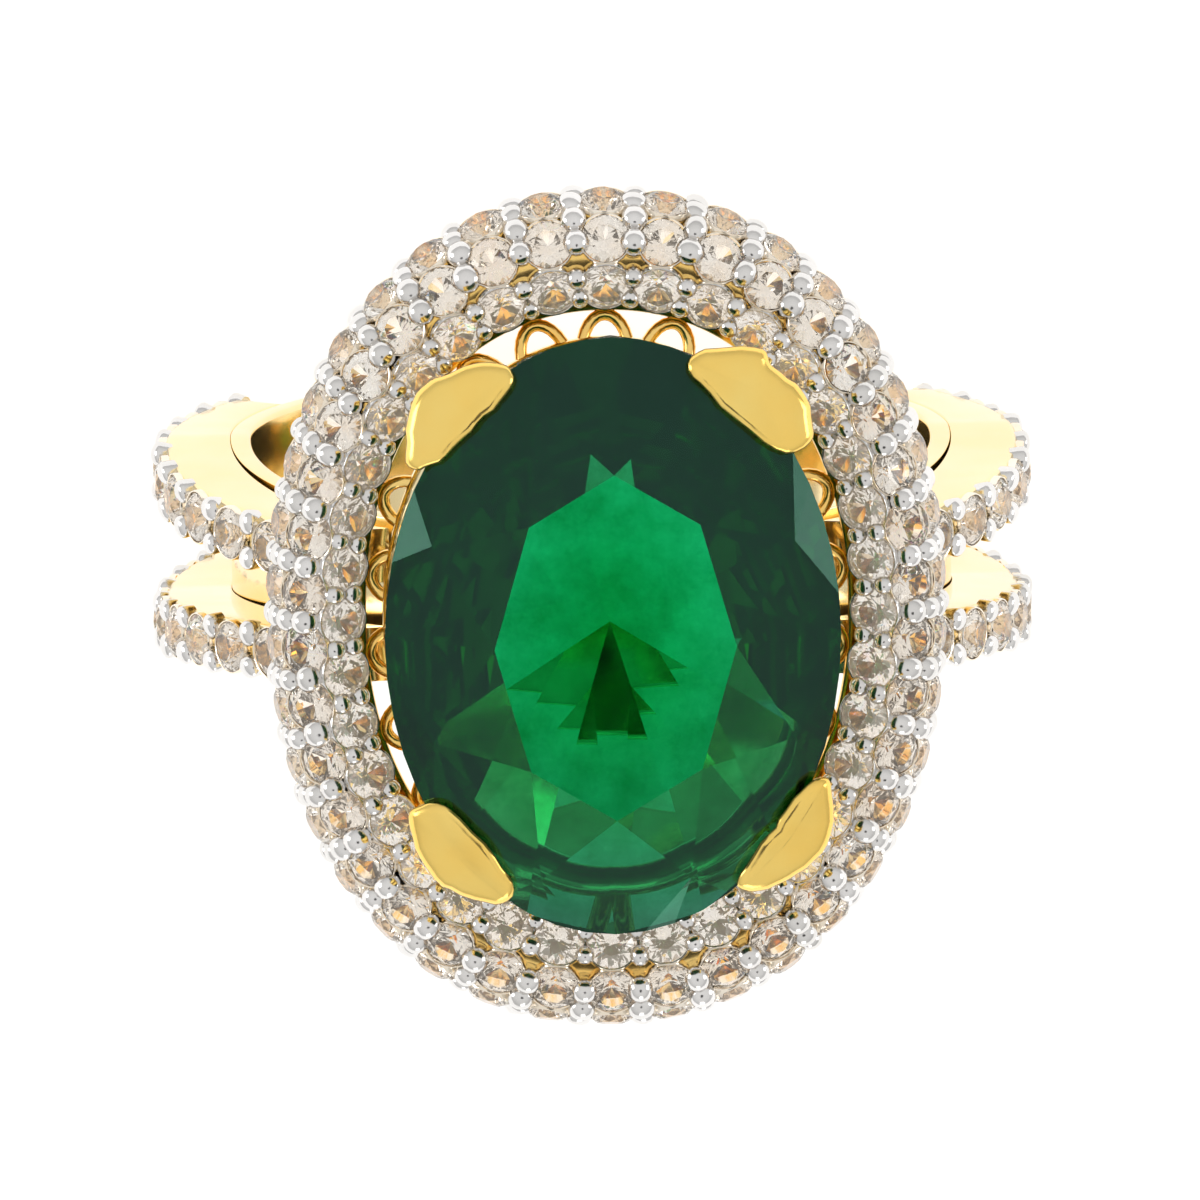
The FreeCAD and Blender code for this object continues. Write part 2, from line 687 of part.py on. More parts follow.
CLAWS = {
    "claw_north_east": CLAW_ANGLE,
    "claw_north_west": 180 - CLAW_ANGLE,
    "claw_south_west": 180 + CLAW_ANGLE,
    "claw_south_east": -CLAW_ANGLE,
}
claws = []
for name, degrees in CLAWS.items():
    body = claw(math.radians(degrees))
    body = max(body.Solids, key=lambda solid: solid.Volume)
    claws.append(body)
    add_part(name, body)

add_part("seat_rail", seat_wire.cut(claws + [stone]))
add_part("gallery_upper_rail", gallery_top.cut(claws))
add_part("gallery_lower_rail", gallery_low.cut(claws))


def gallery_posts():
    """Short posts between the two gallery rails, leaving a window between each pair."""
    posts = []
    low = rail_angles("gallery_lower_rail", GALLERY_POSTS)
    top = rail_angles("gallery_upper_rail", GALLERY_POSTS)
    for low_angle, top_angle in zip(low, top):
        start = rail_point("gallery_lower_rail", low_angle)
        end = rail_point("gallery_upper_rail", top_angle)
        post = rod(start, end, size("post_radius"))
        post = post.cut([gallery_top, gallery_low] + claws)
        if post.Solids:
            posts.append(max(post.Solids, key=lambda solid: solid.Volume))
    return Part.makeCompound(posts)


add_part("gallery_posts", gallery_posts())


def gallery_arches():
    """Small arches that reach from the upper gallery rail out to the halo's inner lip."""
    arches = []
    lip_half_length = size("crest_radius") - size("dome_in")
    lip_half_width = squash * lip_half_length
    thin = size("arch_wire_radius")
    spread = size("arch_half_width")
    level = size("gallery_top_level")
    lip_level = size("dome_level") + size("dome_rise") - size("dome_fall")
    rise = lip_level + size("arch_wire_radius") + ARCH_GAP - level
    for angle in rail_angles("gallery_upper_rail", GALLERY_ARCHES):
        foot = rail_point("gallery_upper_rail", angle)
        lip = Vector(lip_half_width * math.cos(angle), lip_half_length * math.sin(angle), level)
        reach = (lip - foot).Length - thin - ARCH_GAP
        outward = Vector(math.cos(angle) / lip_half_width, math.sin(angle) / lip_half_length, 0).normalize()
        along = Vector(-outward.y, outward.x, 0)
        line = []
        for share_along, share_out, share_up in ARCH_LINE:
            point = foot + along * (share_along * spread) + outward * (share_out * reach)
            line.append(point + Vector(0, 0, share_up * rise))
        pieces = [rod(start, end, thin) for start, end in zip(line, line[1:])]
        pieces += [Part.makeSphere(thin, point) for point in line[1:-1]]
        arch = pieces[0].fuse(pieces[1:]).cut([gallery_top] + claws)
        arches.append(max(arch.Solids, key=lambda solid: solid.Volume))
    return Part.makeCompound(arches)


add_part("gallery_arches", gallery_arches())


def seat_struts():
    """Four struts that carry the seat rail on the lower gallery rail, at the ends and sides."""
    struts = []
    for degrees in (0, 90, 180, 270):
        angle = math.radians(degrees)
        start = rail_point("gallery_lower_rail", angle)
        end = rail_point("seat_rail", angle)
        strut = rod(start, end, size("post_radius"))
        strut = strut.cut([gallery_low, seat_wire, stone])
        struts.append(max(strut.Solids, key=lambda solid: solid.Volume))
    return Part.makeCompound(struts)


add_part("seat_struts", seat_struts())


def bridge_posts():
    """Posts that stand on the finger band and carry the lower gallery rail."""
    posts = []
    band = doc.getObject("finger_band").Shape
    half_width, half_length, level = RAILS["gallery_lower_rail"]
    for side_x in (1, -1):
        for side_y in (1, -1):
            start = Vector(side_x * size("bridge_foot_x"), side_y * size("bridge_foot_y"),
                           size("bridge_foot_level"))
            angle = math.atan2(start.y / half_length, start.x / half_width)
            end = rail_point("gallery_lower_rail", angle)
            post = rod(start, end, size("bridge_radius"))
            post = post.cut([band, gallery_low, bore_disc.Shape])
            posts.append(max(post.Solids, key=lambda solid: solid.CenterOfMass.z))
    return Part.makeCompound(posts)


add_part("bridge_posts", bridge_posts())
doc.recompute()

# ---- check and write -----------------------------------------------------------------------------

for item in doc.Objects:
    if "Invalid" in item.State or "Error" in item.State:
        raise RuntimeError("%s failed: %s" % (item.Name, item.State))

os.makedirs("parts", exist_ok=True)
for part in parts:
    shape = part.Shape
    if shape.isNull() or not shape.isValid():
        raise RuntimeError("%s has no valid shape" % part.Name)
    shape.exportStep("parts/%s.step" % part.Name)
    print("%-26s solids %3d  volume %9.3f" % (part.Name, len(shape.Solids), shape.Volume))
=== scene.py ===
"""Looks of the cocktail ring: faceted stones, beaded pave, polished split shank, gallery and claws.

Everything is worked out in millimetres in the CAD frame and written to the meshes in metres.
"""
import json
import math
import random

import bpy
import numpy as np
from mathutils import Matrix, Vector, noise


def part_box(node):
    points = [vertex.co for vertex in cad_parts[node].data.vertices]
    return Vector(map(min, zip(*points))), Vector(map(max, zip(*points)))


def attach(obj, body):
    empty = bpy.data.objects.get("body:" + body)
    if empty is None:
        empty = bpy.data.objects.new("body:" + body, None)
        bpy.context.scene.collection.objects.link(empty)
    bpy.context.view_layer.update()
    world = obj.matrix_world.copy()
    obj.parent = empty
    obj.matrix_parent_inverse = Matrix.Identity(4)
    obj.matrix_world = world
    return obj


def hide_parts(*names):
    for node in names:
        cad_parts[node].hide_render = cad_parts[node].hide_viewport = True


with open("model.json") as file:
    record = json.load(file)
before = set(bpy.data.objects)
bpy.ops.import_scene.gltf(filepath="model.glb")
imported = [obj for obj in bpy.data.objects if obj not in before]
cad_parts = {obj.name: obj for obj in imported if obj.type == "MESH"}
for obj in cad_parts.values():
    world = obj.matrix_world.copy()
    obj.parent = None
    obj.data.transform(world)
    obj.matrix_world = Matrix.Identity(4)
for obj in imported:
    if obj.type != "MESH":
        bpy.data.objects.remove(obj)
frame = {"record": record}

MM = 0.001
TAU = 2 * math.pi
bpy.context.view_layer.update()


def box_mm(node):
    """A CAD node's lowest and highest corners in millimetres."""
    low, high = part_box(node)
    return Vector(low) / MM, Vector(high) / MM


# ---- driving sizes, read from the CAD frame ------------------------------------------------------

base_low = box_mm("shank_base")[0]
shell_low, shell_high = box_mm("halo_shell")
rail_low, rail_high = box_mm("halo_base_rail")
bore = frame["record"]["mounts"][0]["dims"]["r_mm"]

STONE_HALF_WIDTH = 6.0
STONE_HALF_LENGTH = 8.0
GIRDLE_LEVEL = 13.4
GIRDLE_THICKNESS = 0.3
CROWN_HEIGHT = 1.6
PAVILION_DEPTH = 3.8
TABLE_SHARE = 0.53
SQUASH = 0.793  # the halo's width over its length
FULLNESS = 2.14  # the power of the halo's oval; 2 is an ellipse
CREST_RADIUS = 9.45
DOME_IN = 1.45
DOME_OUT = 1.6
DOME_FALL = 1.3
DOME_RISE = 1.5
CREST_LEVEL = shell_high.z
DOME_LEVEL = CREST_LEVEL - DOME_RISE
LIP_LEVEL = CREST_LEVEL - DOME_FALL
SKIRT_LEVEL = shell_low.z
SHANK_RADIUS = 11.5
SHANK_RISE = base_low.z + SHANK_RADIUS
BAND_RADIUS = 9.6
MELEE = 1.34
OUTER_MELEE = 1.3
ARM_MELEE = 1.34
INNER_STONES = 36
OUTER_STONES = 38
ARM_STONES = 9
GALLERY_POSTS = 20
GALLERY_LOOPS = 22


# ---- small helpers -------------------------------------------------------------------------------

def make_piece(name, points, faces, material, smooth=True, sharp_angle=0.6):
    """A mesh object from points in millimetres, riding on the ring."""
    mesh = bpy.data.meshes.new(name)
    mesh.from_pydata([tuple(p * MM for p in point) for point in points], [], faces)
    mesh.validate()
    mesh.update()
    piece = bpy.data.objects.new(name, mesh)
    bpy.context.scene.collection.objects.link(piece)
    mesh.materials.append(material)
    if smooth:
        mesh.shade_smooth()
        mesh.set_sharp_from_angle(angle=sharp_angle)
    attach(piece, "root")
    return piece


def skin(rings, closed_path):
    """Faces over rings of equal point counts, closed round each ring."""
    points = [tuple(point) for ring in rings for point in ring]
    count = len(rings[0])
    faces = []
    last = len(rings) if closed_path else len(rings) - 1
    for i in range(last):
        k = (i + 1) % len(rings)
        for j in range(count):
            n = (j + 1) % count
            faces.append((i * count + j, i * count + n, k * count + n, k * count + j))
    if not closed_path:
        faces.append(tuple(reversed(range(count))))
        start = (len(rings) - 1) * count
        faces.append(tuple(range(start, start + count)))
    return points, faces


def merge(parts):
    """Several (points, faces) pairs as one."""
    points = []
    faces = []
    for more_points, more_faces in parts:
        shift = len(points)
        points += more_points
        faces += [tuple(index + shift for index in face) for face in more_faces]
    return points, faces


def moved(shape, matrix):
    """A (points, faces) pair under a matrix."""
    points, faces = shape
    return [tuple(matrix @ Vector(point)) for point in points], faces


def place(point, normal, along):
    """A matrix that puts a local +Z on the normal and a local +X near a direction."""
    z_axis = Vector(normal).normalized()
    x_axis = (Vector(along) - z_axis * z_axis.dot(along)).normalized()
    y_axis = z_axis.cross(x_axis)
    matrix = Matrix((x_axis, y_axis, z_axis)).transposed().to_4x4()
    matrix.translation = point
    return matrix


def lathe(profile, sides):
    """A closed (radius, level) profile turned about Z."""
    rings = []
    for i in range(sides):
        angle = TAU * i / sides
        rings.append([(r * math.cos(angle), r * math.sin(angle), z) for r, z in profile])
    return skin(rings, True)


def dome(profile, sides):
    """An open (radius, level) profile turned about Z, closed by a tip at its last point and a flat base."""
    points = []
    for r, z in profile[:-1]:
        for i in range(sides):
            angle = TAU * i / sides
            points.append((r * math.cos(angle), r * math.sin(angle), z))
    points.append((0, 0, profile[-1][1]))
    tip = len(points) - 1
    faces = [tuple(reversed(range(sides)))]
    for k in range(len(profile) - 2):
        for i in range(sides):
            j = (i + 1) % sides
            faces.append((k * sides + i, k * sides + j, (k + 1) * sides + j, (k + 1) * sides + i))
    start = (len(profile) - 2) * sides
    for i in range(sides):
        faces.append((start + i, start + (i + 1) % sides, tip))
    return points, faces


def scratch_object(name, shape):
    """A plain object that is only used to cut with or to be cut."""
    mesh = bpy.data.meshes.new(name)
    mesh.from_pydata([tuple(point) for point in shape[0]], [], shape[1])
    thing = bpy.data.objects.new(name, mesh)
    bpy.context.scene.collection.objects.link(thing)
    return thing


def pierced(shape, places, diameter):
    """A closed shape with a tapered seat bored through it at each place."""
    wide, narrow = 0.45 * diameter, 0.2 * diameter
    cutter = dome([(narrow, -1.05), (wide, -0.08), (0, -0.04)], 20)
    body = scratch_object("uncut", shape)
    drills = scratch_object("drills", merge([moved(cutter, matrix) for matrix in places]))
    boring = body.modifiers.new("boring", "BOOLEAN")
    boring.operation = "DIFFERENCE"
    boring.solver = "MANIFOLD"
    boring.object = drills
    result = body.evaluated_get(bpy.context.evaluated_depsgraph_get()).to_mesh()
    points = [tuple(vertex.co) for vertex in result.vertices]
    faces = [tuple(face.vertices) for face in result.polygons]
    for thing in (body, drills):
        mesh = thing.data
        bpy.data.objects.remove(thing)
        bpy.data.meshes.remove(mesh)
    return points, faces


# ---- materials -----------------------------------------------------------------------------------

def new_material(name):
    """A material with its nodes, links and main shader."""
    material = bpy.data.materials.new(name)
    material.use_nodes = True
    nodes = material.node_tree.nodes
    return material, nodes, material.node_tree.links, nodes["Principled BSDF"]


def noise_texture(nodes, links, scale, detail=3.0, roughness=0.5):
    """A noise in the ring's own coordinates; scale is in cycles per metre."""
    place_in = nodes.new("ShaderNodeTexCoord")
    texture = nodes.new("ShaderNodeTexNoise")
    texture.inputs["Scale"].default_value = scale
    texture.inputs["Detail"].default_value = detail
    texture.inputs["Roughness"].default_value = roughness
    links.new(place_in.outputs["Object"], texture.inputs["Vector"])
    return texture


def ramp(nodes, links, source, stops):
    """A colour ramp over a value; stops are (position, colour)."""
    node = nodes.new("ShaderNodeValToRGB")
    node.color_ramp.elements[0].position = stops[0][0]
    node.color_ramp.elements[0].color = (*stops[0][1], 1)
    node.color_ramp.elements[1].position = stops[-1][0]
    node.color_ramp.elements[1].color = (*stops[-1][1], 1)
    for position, colour in stops[1:-1]:
        element = node.color_ramp.elements.new(position)
        element.color = (*colour, 1)
    links.new(source, node.inputs["Fac"])
    return node.outputs["Color"]


def spread(nodes, links, source, low, high):
    """A value between 0 and 1 mapped to a range."""
    node = nodes.new("ShaderNodeMapRange")
    node.inputs["To Min"].default_value = low
    node.inputs["To Max"].default_value = high
    links.new(source, node.inputs["Value"])
    return node.outputs["Result"]


def polished_metal(name, dark, light, smooth_to, rough_to, bump, bump_scale):
    """Polished metal with a faint unevenness in colour, polish and surface."""
    material, nodes, links, shader = new_material(name)
    shader.inputs["Metallic"].default_value = 1.0
    cloud = noise_texture(nodes, links, 420.0)
    links.new(ramp(nodes, links, cloud.outputs["Fac"], [(0.3, dark), (0.7, light)]),
              shader.inputs["Base Color"])
    polish = noise_texture(nodes, links, 1500.0, 4.0)
    links.new(spread(nodes, links, polish.outputs["Fac"], smooth_to, rough_to), shader.inputs["Roughness"])
    relief = noise_texture(nodes, links, bump_scale, 2.0)
    bump_node = nodes.new("ShaderNodeBump")
    bump_node.inputs["Strength"].default_value = bump
    bump_node.inputs["Distance"].default_value = 0.00004
    links.new(relief.outputs["Fac"], bump_node.inputs["Height"])
    links.new(bump_node.outputs["Normal"], shader.inputs["Normal"])
    return material


def clear_stone(name, tint_dark, tint_light, refraction, clarity, painted_glow):
    """A clear faceted stone with a faint change of tint from stone to stone and a faint warm painted glow.
    """
    material, nodes, links, shader = new_material(name)
    shader.inputs["Transmission Weight"].default_value = clarity
    shader.inputs["IOR"].default_value = refraction
    shader.inputs["Roughness"].default_value = 0.0
    # painted glow: the stone gives off a faint warm light of its own
    shader.inputs["Emission Color"].default_value = (1.0, 0.84, 0.66, 1)
    shader.inputs["Emission Strength"].default_value = painted_glow
    cloud = noise_texture(nodes, links, 900.0, 1.0)
    links.new(ramp(nodes, links, cloud.outputs["Fac"], [(0.35, tint_dark), (0.65, tint_light)]),
              shader.inputs["Base Color"])
    play = noise_texture(nodes, links, 800.0, 1.0)
    film = nodes.new("ShaderNodeMapRange")
    film.inputs["From Min"].default_value = 0.56
    film.inputs["From Max"].default_value = 0.8
    film.inputs["To Min"].default_value = 0.0
    film.inputs["To Max"].default_value = 700.0
    links.new(play.outputs["Fac"], film.inputs["Value"])
    links.new(film.outputs["Result"], shader.inputs["Thin Film Thickness"])
    shader.inputs["Thin Film IOR"].default_value = 1.5
    return material


def green_stone():
    """A deep green transparent stone with clouds inside, its colour darkened toward the rim and the south
    end as painted shade.
    """
    material, nodes, links, shader = new_material("green_stone_cut")
    shader.inputs["Transmission Weight"].default_value = 1.0
    shader.inputs["IOR"].default_value = 1.575
    shader.inputs["Roughness"].default_value = 0.0
    shader.inputs["Specular Tint"].default_value = (0.38, 1.0, 0.72, 1)
    cloud = noise_texture(nodes, links, 520.0, 6.0, 0.66)
    clouds = ramp(nodes, links, cloud.outputs["Fac"],
                  [(0.34, (0.16, 0.55, 0.36)), (0.6, (0.86, 1.0, 0.94))])

    place_in = nodes.new("ShaderNodeTexCoord")
    across = nodes.new("ShaderNodeVectorMath")
    across.operation = "MULTIPLY_ADD"
    across.inputs[1].default_value = (1 / (STONE_HALF_WIDTH * MM), 1 / (STONE_HALF_LENGTH * MM), 0)
    across.inputs[2].default_value = (0, -0.36, 0)
    links.new(place_in.outputs["Object"], across.inputs[0])
    from_middle = nodes.new("ShaderNodeVectorMath")
    from_middle.operation = "LENGTH"
    links.new(across.outputs["Vector"], from_middle.inputs[0])
    share = nodes.new("ShaderNodeMapRange")
    share.inputs["From Max"].default_value = 1.5
    links.new(from_middle.outputs["Value"], share.inputs["Value"])
    # painted shade: the base colour darkens toward the rim, and, with the middle moved north, toward the
    # south end too
    painted_rim_shade = ramp(nodes, links, share.outputs["Result"],
                 [(0.3, (1.0, 1.0, 1.0)), (0.5, (0.6, 0.74, 0.66)), (0.68, (0.3, 0.48, 0.4)),
                  (0.78, (0.1, 0.3, 0.22)), (0.92, (0.02, 0.12, 0.08))])
    both = nodes.new("ShaderNodeMixRGB")
    both.blend_type = "MULTIPLY"
    both.inputs["Fac"].default_value = 1.0
    links.new(clouds, both.inputs["Color1"])
    links.new(painted_rim_shade, both.inputs["Color2"])
    links.new(both.outputs["Color"], shader.inputs["Base Color"])

    absorb = nodes.new("ShaderNodeVolumeAbsorption")
    absorb.inputs["Color"].default_value = (0.0, 0.83, 0.61, 1)
    absorb.inputs["Density"].default_value = 1280.0
    links.new(absorb.outputs["Volume"], nodes["Material Output"].inputs["Volume"])
    return material


# painted light and shade: one gold in three tones, the pale gold_polished standing in for brightly lit gold
# and the deeper gold_deep and gold_claw for more dimly lit gold
GOLD = polished_metal("gold_polished", (1.0, 0.79, 0.41), (1.0, 0.85, 0.51), 0.07, 0.16, 0.12, 900.0)
GOLD_DEEP = polished_metal("gold_deep", (1.0, 0.62, 0.17), (1.0, 0.70, 0.24), 0.10, 0.22, 0.2, 1200.0)
PALE_METAL = polished_metal("rhodium_rim", (0.93, 0.80, 0.62), (0.98, 0.90, 0.78), 0.08, 0.18, 0.15, 2000.0)
GOLD_CLAW = polished_metal("gold_claw", (1.0, 0.66, 0.15), (1.0, 0.74, 0.22), 0.12, 0.26, 0.35, 1400.0)
RHODIUM = polished_metal("rhodium_bead", (0.74, 0.72, 0.69), (0.84, 0.82, 0.80), 0.10, 0.24, 0.35, 3000.0)
GREEN = green_stone()
WHITE = clear_stone("white_melee", (1.0, 0.92, 0.82), (1.0, 0.98, 0.94), 1.9, 0.94, 0.05)
CHAMPAGNE = clear_stone("champagne_melee", (1.0, 0.87, 0.72), (1.0, 0.96, 0.89), 1.75, 0.96, 0.02)


# ---- stones --------------------------------------------------------------------------------------

def brilliant(table, crown, pavilion, girdle, star=0.78, lower=0.26, table_stretch=1.0, rim_steps=1):
    """A round brilliant of unit girdle radius: 33 crown and 24 pavilion facets and a thin girdle."""
    def ring(radius, level, count, turn, stretch=1.0):
        points = []
        for k in range(count):
            angle = TAU * (k + turn) / count
            points.append((radius * math.cos(angle), stretch * radius * math.sin(angle), level))
        return points

    half = math.cos(TAU / 16)
    rim = 16 * rim_steps
    star_level = crown - (star * half - table) * crown / (1 - table)
    lower_level = -girdle - pavilion * (1 - lower * half)
    points = ring(table, crown, 8, 0, table_stretch) + ring(star, star_level, 8, 0.5) + ring(1, 0, rim, 0)
    points += ring(1, -girdle, 16, 0) + ring(lower, lower_level, 8, 0.5) + [(0, 0, -girdle - pavilion)]
    table_at, star_at, top_at, low_at, lower_at, culet = 0, 8, 16, 16 + rim, 32 + rim, 40 + rim
    faces = [tuple(range(8))]
    for k in range(8):
        n = (k + 1) % 8
        before = (k - 1) % 8
        left, middle, right = low_at + 2 * k, low_at + 2 * k + 1, low_at + (2 * k + 2) % 16
        corner = 2 * k * rim_steps
        faces.append((table_at + n, table_at + k, star_at + k))
        faces.append((table_at + k, star_at + before, top_at + corner, star_at + k))
        for step in range(corner, corner + 2 * rim_steps):
            faces.append((star_at + k, top_at + step, top_at + (step + 1) % rim))
        faces.append((lower_at + k, middle, left))
        faces.append((lower_at + k, right, middle))
        faces.append((culet, lower_at + k, left, lower_at + before))
    for j in range(rim):
        here, there = top_at + j, top_at + (j + 1) % rim
        sector, step = divmod(j, rim_steps)
        left, right = low_at + sector, low_at + (sector + 1) % 16
        if step == rim_steps // 2:
            faces.append((here, left, right, there))
        else:
            faces.append((here, left if step < rim_steps // 2 else right, there))
    return points, faces


def tipped(chance, amount):
    """A small random tilt."""
    about_x = Matrix.Rotation(chance.gauss(0, amount), 4, "X")
    return about_x @ Matrix.Rotation(chance.gauss(0, amount), 4, "Y")


def melee_set(places, diameter, seed):
    """Small brilliants, each turned and tipped a little."""
    chance = random.Random(seed)
    unit = brilliant(0.56, 0.30, 0.84, 0.05)
    parts = []
    for matrix in places:
        turn = Matrix.Rotation(chance.uniform(0, TAU / 8), 4, "Z")
        tip = tipped(chance, 0.035)
        scale = Matrix.Scale(diameter / 2 * chance.uniform(0.97, 1.02), 4)
        parts.append(moved(unit, matrix @ tip @ turn @ scale))
    return merge(parts)


def collet_set(places, diameter):
    """The thin tapered cup that each small stone sits in."""
    r = diameter / 2
    profile = [
        (r + 0.065, -0.16), (r + 0.06, -0.01), (r + 0.04, 0.03), (r + 0.012, 0.02), (r + 0.004, -0.05),
        (0.45 * r, -0.54), (0.42 * r, -0.66), (0.55 * r, -0.66),
    ]
    cup = lathe(list(reversed(profile)), 28)
    return merge([moved(cup, matrix) for matrix in places])


def bead_set(places, radius, height, seed, sides=18):
    """Setting beads: short pegs with a domed head, a little uneven."""
    chance = random.Random(seed)
    profile = [(radius * 0.86, -0.3), (radius * 0.97, -0.1), (radius, 0.04)]
    for k in range(1, 8):
        angle = math.pi / 2 * k / 7
        profile.append((radius * math.cos(angle), 0.04 + (height - 0.04) * math.sin(angle)))
    unit = dome(profile, sides)
    parts = []
    for matrix in places:
        tip = tipped(chance, 0.12)
        stretch = Matrix.Diagonal((chance.uniform(0.92, 1.08), chance.uniform(0.92, 1.08),
                                   chance.uniform(0.9, 1.08), 1))
        shift = Matrix.Translation((chance.gauss(0, 0.02), chance.gauss(0, 0.02), 0))
        parts.append(moved(unit, matrix @ shift @ tip @ stretch))
    return merge(parts)


# ---- halo ----------------------------------------------------------------------------------------

def oval(angle):
    """A point on the halo's oval of unit half length, which is a little fuller than an ellipse."""
    x, y = math.cos(angle), math.sin(angle)
    scale = (abs(x) ** FULLNESS + abs(y) ** FULLNESS) ** (-1 / FULLNESS)
    return Vector((SQUASH * scale * x, scale * y, 0))


def halo_point(angle, tilt, offset=0.0):
    """A point on the dome and its normal; tilt is negative inside the crest and 90 degrees at the rim."""
    reach = DOME_OUT if tilt > 0 else DOME_IN
    drop = DOME_RISE if tilt > 0 else DOME_FALL
    radius = CREST_RADIUS + reach * math.sin(tilt)
    level = CREST_LEVEL - drop * (1 - math.cos(tilt))
    flat = math.sin(tilt) / reach
    x, y = math.cos(angle), math.sin(angle)
    steep_x = math.copysign(abs(x) ** (FULLNESS - 1), x)
    steep_y = math.copysign(abs(y) ** (FULLNESS - 1), y)
    normal = Vector((flat * steep_x / SQUASH, flat * steep_y, math.cos(tilt) / drop)).normalized()
    point = oval(angle) * radius + Vector((0, 0, level))
    return point + normal * offset, normal


def even_angles(tilt_degrees, count, shift):
    """Oval angles that space points evenly along one row of the halo."""
    tilt = math.radians(tilt_degrees)
    steps = 1440
    line = [halo_point(TAU * i / steps, tilt)[0] for i in range(steps + 1)]
    lengths = [0.0]
    for first, second in zip(line, line[1:]):
        lengths.append(lengths[-1] + (second - first).length)
    wanted = [lengths[-1] * ((k + shift) % count) / count for k in range(count)]
    return [TAU * float(np.interp(w, lengths, range(steps + 1))) / steps for w in wanted]


def halo_places(angles, tilt_degrees, raised=0.0):
    """Places on one line of the dome, with a local X along the halo."""
    places = []
    for angle in angles:
        point, normal = halo_point(angle, math.radians(tilt_degrees), raised)
        along = Vector((-SQUASH * math.sin(angle), math.cos(angle), 0))
        places.append(place(point, normal, along))
    return places


def halo_section(angle):
    """Closed section of the halo's metal: rolled inner lip, dome under the stones' edges, skirt."""
    across = oval(angle)
    lip = CREST_RADIUS - DOME_IN
    rim = CREST_RADIUS + DOME_OUT

    def at(radius, level):
        here = across * radius
        return Vector((here.x, here.y, level))

    lip_roll = [
        (0.5, 0.02), (0.08, 0.02), (0.02, 0.08), (0.02, 0.2), (0.05, 0.27), (0.12, 0.28), (0.19, 0.22)]
    loop = [at(lip + outward, LIP_LEVEL + upward) for outward, upward in lip_roll]
    for k in range(23):
        loop.append(halo_point(angle, math.radians(-68 + 7 * k), -0.2)[0])
    loop += [at(rim - 0.2, DOME_LEVEL - 0.05), at(rim - 0.05, DOME_LEVEL - 0.1),
             at(rim - 0.03, SKIRT_LEVEL + 0.06), at(rim - 0.08, SKIRT_LEVEL), at(rim - 0.6, SKIRT_LEVEL)]
    for k in range(15):
        loop.append(halo_point(angle, math.radians(80 - 10 * k), -0.6)[0])
    return loop


def build_halo():
    """The dome with its three rows of stones, their cups and beads, and the rail under the rim."""
    stations = [TAU * k / 220 for k in range(220)]
    inner = even_angles(-25, INNER_STONES, 0)
    inner_gaps = even_angles(-25, INNER_STONES, 0.5)
    columns = even_angles(45, OUTER_STONES, 0.5)
    column_gaps = even_angles(45, OUTER_STONES, 0)
    rows = [
        ("inner", halo_places(inner, -25.5), MELEE, WHITE, "white_stones", RHODIUM),
        ("middle", halo_places(columns, 25), OUTER_MELEE, CHAMPAGNE, "champagne_stones", PALE_METAL),
        ("outer", halo_places(columns, 74), OUTER_MELEE, CHAMPAGNE, "champagne_stones", PALE_METAL),
    ]
    every_place = [matrix for row in rows for matrix in row[1]]
    uncut = skin([list(reversed(halo_section(angle))) for angle in stations], True)
    points, faces = pierced(uncut, every_place, OUTER_MELEE)
    shell = make_piece("halo_dome", points, faces, GOLD_DEEP)
    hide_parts("halo_shell")
    for seed, (row, places, diameter, material, slot, metal) in enumerate(rows):
        points, faces = melee_set(places, diameter, seed)
        stones = make_piece("halo_%s_brilliants" % row, points, faces, material, smooth=False)
        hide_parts("halo_%s_stones" % row)
        points, faces = collet_set(places, diameter)
        cups = make_piece("halo_%s_collets" % row, points, faces, metal)

    inner_pairs = halo_places(inner_gaps, -39) + halo_places(inner_gaps, -12)
    beads = [
        ("inner", inner_pairs, 0.28, 0.3),
        ("crest", halo_places(column_gaps, 22), 0.38, 0.42),
        ("middle", halo_places(column_gaps, 46), 0.36, 0.36),
        ("rim", halo_places(column_gaps, 69) + halo_places(column_gaps, 90), 0.33, 0.28),
    ]
    for seed, (row, places, radius, height) in enumerate(beads):
        points, faces = bead_set(places, radius, height, 20 + seed)
        grains = make_piece("halo_%s_grains" % row, points, faces, RHODIUM)
        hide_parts("halo_%s_beads" % row)

    rings = []
    rim = CREST_RADIUS + DOME_OUT
    low, high = rail_low.z, rail_high.z
    section = [(rim - 2.1, low + 0.04), (rim - 2.05, low), (rim - 0.1, low), (rim - 0.03, low + 0.05),
               (rim - 0.03, high - 0.03), (rim - 0.06, high), (rim - 2.05, high), (rim - 2.1, high - 0.04)]
    for angle in stations:
        ring = [oval(angle) * radius + Vector((0, 0, level)) for radius, level in section]
        rings.append(list(reversed(ring)))
    points, faces = skin(rings, True)
    rail = make_piece("halo_under_rail", points, faces, GOLD)
    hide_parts("halo_base_rail")


# ---- shank ---------------------------------------------------------------------------------------

CREASE_LEVEL = -0.5
CREASE_HALF = 2.8
SHOULDER_LEVEL = -6.0
SHOULDER_HALF = 2.7
TOP_LEVEL = rail_low.z
TOP_HALF = 2.05
SPLIT_LEVEL = -8.4
SPLIT_HALF = 1.3
SPLIT_TOP_HALF = 0.6
BOTTOM_HALF = 1.5
SLIT_START = math.radians(-3)
SLIT_RADIUS = 11.6


def outer_half(level):
    """Half width of the shank at a level."""
    levels = [SPLIT_LEVEL - 1.5, SHOULDER_LEVEL, CREASE_LEVEL, TOP_LEVEL]
    return float(np.interp(level, levels, [BOTTOM_HALF, SHOULDER_HALF, CREASE_HALF, TOP_HALF]))


def inner_half(level):
    """Half width of the space between the arms at a level."""
    levels = [SPLIT_LEVEL, SPLIT_LEVEL + 2, CREASE_LEVEL, TOP_LEVEL + 1]
    return float(np.interp(level, levels, [0.5 * SPLIT_HALF, SPLIT_HALF, SPLIT_HALF, SPLIT_TOP_HALF]))


